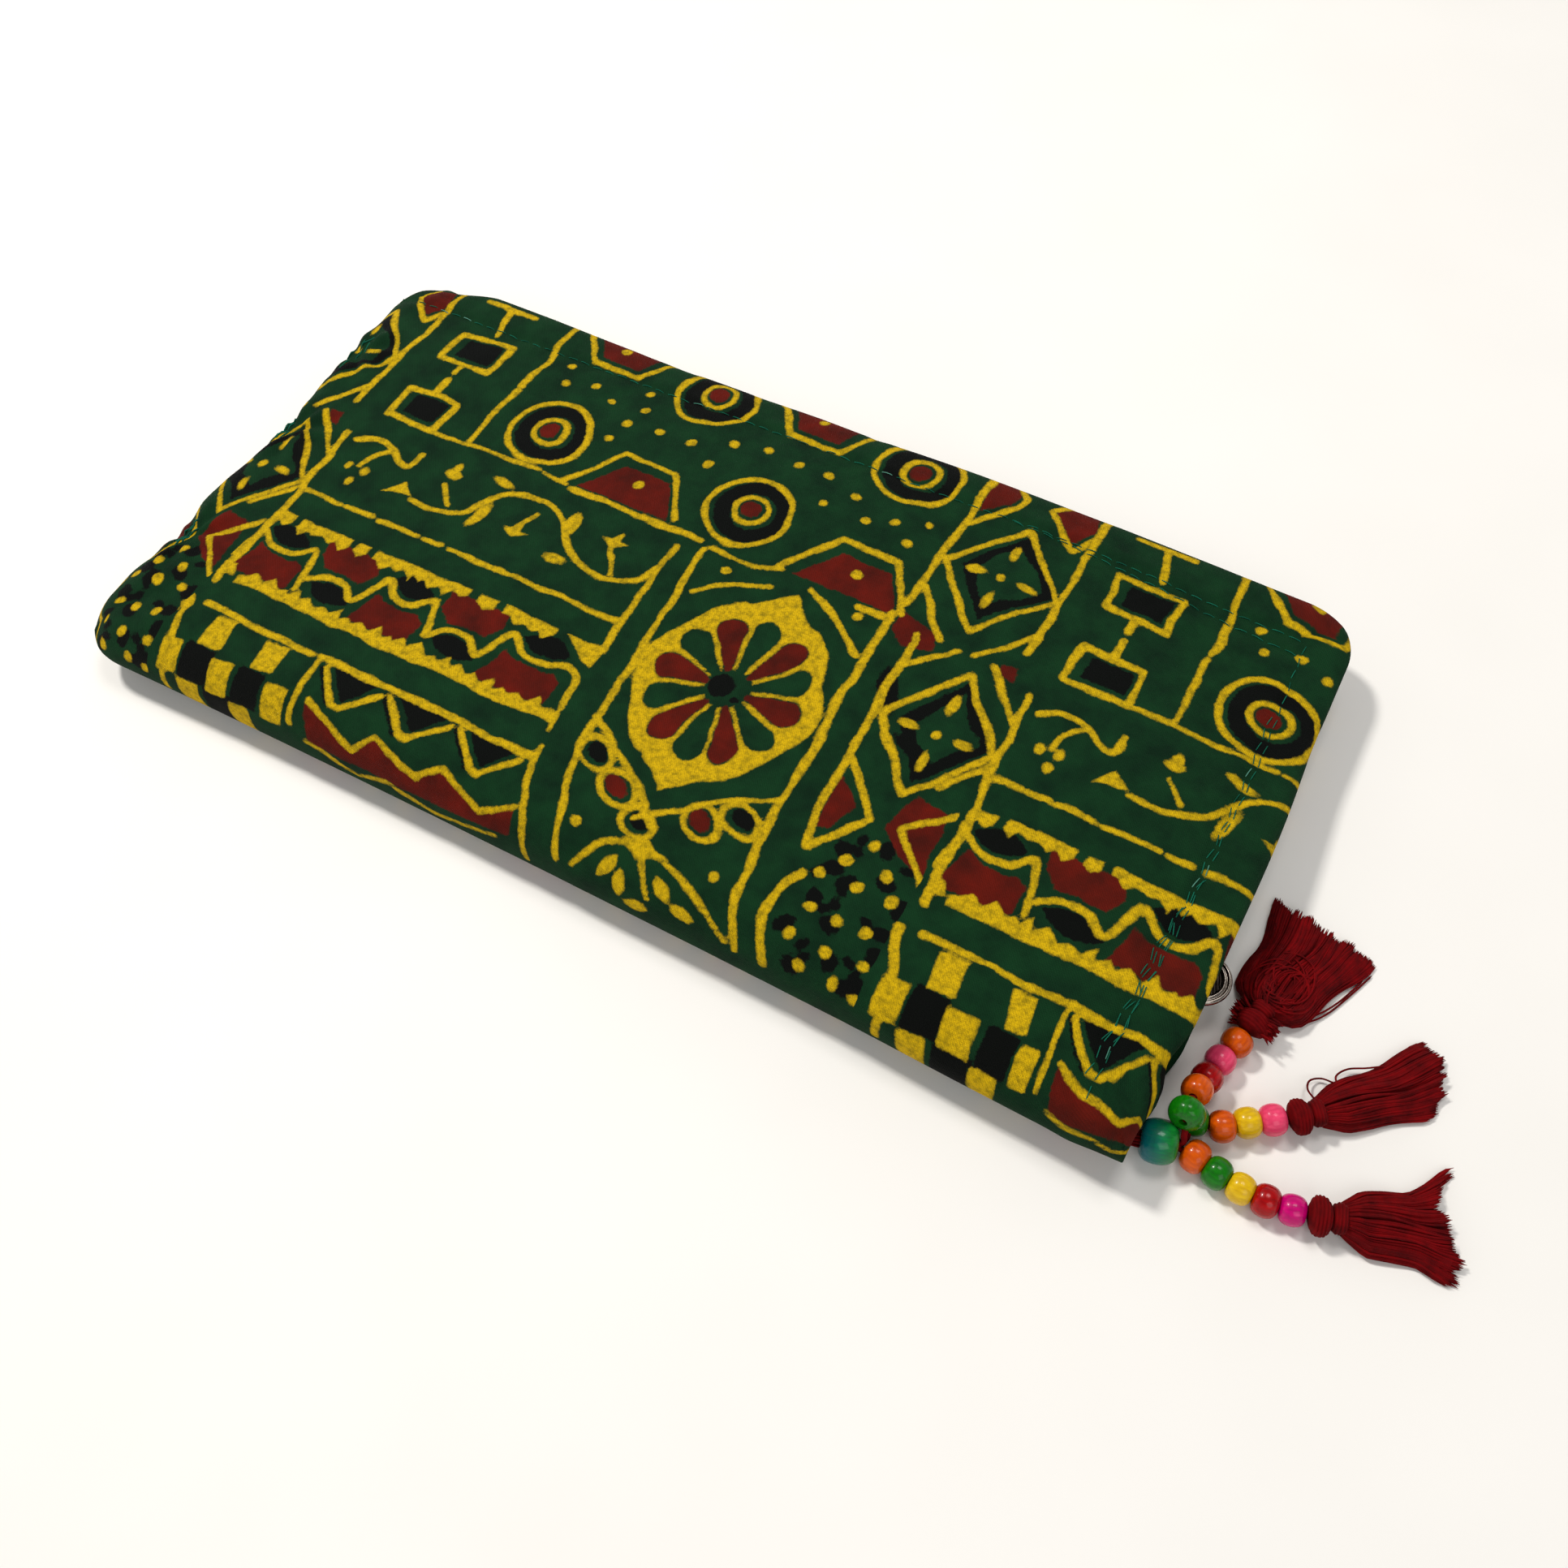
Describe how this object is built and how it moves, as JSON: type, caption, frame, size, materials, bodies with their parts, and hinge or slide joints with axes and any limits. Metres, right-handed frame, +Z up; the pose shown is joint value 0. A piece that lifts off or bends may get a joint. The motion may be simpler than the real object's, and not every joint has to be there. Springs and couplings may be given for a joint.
{
  "type": "soft zip glasses pouch",
  "caption": "Flat padded cloth pouch for glasses with a zip round its back and right edges, a ribbed metal zip pull and a beaded tassel charm at one corner.",
  "frame": {"origin": "on the table, under the middle of the pouch's two panels", "axes": "+X along the long side towards the end where the zip closes and the charm hangs, +Y across the width towards the zipped long edge, +Z up through the thickness"},
  "size_m": [0.2458, 0.104, 0.014],
  "materials": {
    "print_cotton": "hand-block printed cotton, matt",
    "wadding": "thin white wadding",
    "lining_cotton": "plain maroon cotton, matt",
    "zip_tape": "woven polyester tape",
    "zip_coil": "moulded nylon coil, satin",
    "nickel": "bright nickel plate, lightly worn",
    "maroon_thread": "twisted cotton thread",
    "bead_teal": "dyed and lacquered",
    "bead_green": "dyed and lacquered",
    "bead_orange": "dyed and lacquered",
    "bead_red": "dyed and lacquered",
    "bead_pink": "dyed and lacquered",
    "bead_yellow": "dyed and lacquered",
    "bead_magenta": "dyed and lacquered"
  },
  "bodies": {
    "pouch": {"cover_bottom": "print_cotton", "padding_bottom": "wadding", "lining_bottom": "lining_cotton", "cover_top_fixed": "print_cotton", "padding_top_fixed": "wadding", "lining_top_fixed": "lining_cotton", "front_fold": "print_cotton", "left_end_seam": "print_cotton", "zip_tape_lower": "zip_tape", "zip_coil_lower": "zip_coil", "top_stop_lower": "nickel", "bottom_stop": "nickel"},
    "flap": {"cover_top_flap": "print_cotton", "padding_top_flap": "wadding", "lining_top_flap": "lining_cotton", "zip_tape_upper": "zip_tape", "zip_coil_upper": "zip_coil", "top_stop_upper": "nickel"},
    "slider": {"slider_body": "nickel", "slider_bridge": "nickel"},
    "bail": {"pull_bail": "nickel"},
    "pull": {"pull_disc": "nickel"},
    "charm": {"corner_thread": "maroon_thread", "bead_a1": "bead_green", "bead_b1": "bead_green", "bead_c1": "bead_orange"},
    "big_bead": {"big_bead": "bead_teal"},
    "strand_a": {"strand_cord_a": "maroon_thread", "bead_a2": "bead_orange", "bead_a3": "bead_red", "bead_a4": "bead_pink", "bead_a5": "bead_orange"},
    "strand_b": {"strand_cord_b": "maroon_thread", "bead_b2": "bead_orange", "bead_b3": "bead_yellow", "bead_b4": "bead_pink"},
    "strand_c": {"strand_cord_c": "maroon_thread", "bead_c2": "bead_green", "bead_c3": "bead_yellow", "bead_c4": "bead_red", "bead_c5": "bead_magenta"},
    "tassel_a": {"tassel_head_a": "maroon_thread", "tassel_skirt_a": "maroon_thread"},
    "tassel_b": {"tassel_head_b": "maroon_thread", "tassel_skirt_b": "maroon_thread"},
    "tassel_c": {"tassel_head_c": "maroon_thread", "tassel_skirt_c": "maroon_thread"}
  },
  "joints": [
    {"name": "mouth_open", "type": "hinge", "parent": "pouch", "child": "flap", "pos_m": [0, 0, 0.014], "axis": [0.8872, -0.4613, 0], "range_deg": [0, 35]},
    {"name": "zip_slide", "type": "slide", "parent": "pouch", "child": "slider", "axis": [0, 1, 0], "range_m": [0, 0.052]},
    {"name": "bail_swing", "type": "hinge", "parent": "slider", "child": "bail", "pos_m": [0.09455, -0.028, 0.0068], "axis": [0, 0, 1], "range_deg": [-56, 0]},
    {"name": "pull_swing", "type": "hinge", "parent": "bail", "child": "pull", "pos_m": [0.0971, -0.02336, 0.0062], "axis": [0, 0, 1], "range_deg": [-30, 4]},
    {"name": "charm_swing", "type": "hinge", "parent": "pouch", "child": "charm", "pos_m": [0.0968, -0.0471, 0.0052], "axis": [0, 0, 1], "range_deg": [-35, 4]},
    {"name": "big_bead_spin", "type": "hinge", "parent": "charm", "child": "big_bead", "pos_m": [0.1026, -0.0452, 0.0032], "axis": [0.9511, 0.309, 0], "continuous": true},
    {"name": "strand_a_lift", "type": "hinge", "parent": "charm", "child": "strand_a", "pos_m": [0.1045, -0.03835, 0.00794], "axis": [1, 0, 0], "range_deg": [0, 35]},
    {"name": "strand_b_lift", "type": "hinge", "parent": "charm", "child": "strand_b", "pos_m": [0.10775, -0.0391, 0.0041], "axis": [0.2609, -0.9654, 0], "range_deg": [0, 35]},
    {"name": "strand_c_lift", "type": "hinge", "parent": "charm", "child": "strand_c", "pos_m": [0.10965, -0.0449, 0.0041], "axis": [-0.2228, -0.9749, 0], "range_deg": [0, 35]},
    {"name": "tassel_a_bend", "type": "hinge", "parent": "strand_a", "child": "tassel_a", "pos_m": [0.10773, -0.02218, 0.0031], "axis": [0.9774, -0.2113, 0], "range_deg": [0, 30]},
    {"name": "tassel_b_bend", "type": "hinge", "parent": "strand_b", "child": "tassel_b", "pos_m": [0.11829, -0.03251, 0.0029], "axis": [0.6428, -0.766, 0], "range_deg": [0, 30]},
    {"name": "tassel_c_bend", "type": "hinge", "parent": "strand_c", "child": "tassel_c", "pos_m": [0.12534, -0.04456, 0.0029], "axis": [0.3289, -0.9444, 0], "range_deg": [0, 30]}
  ]
}
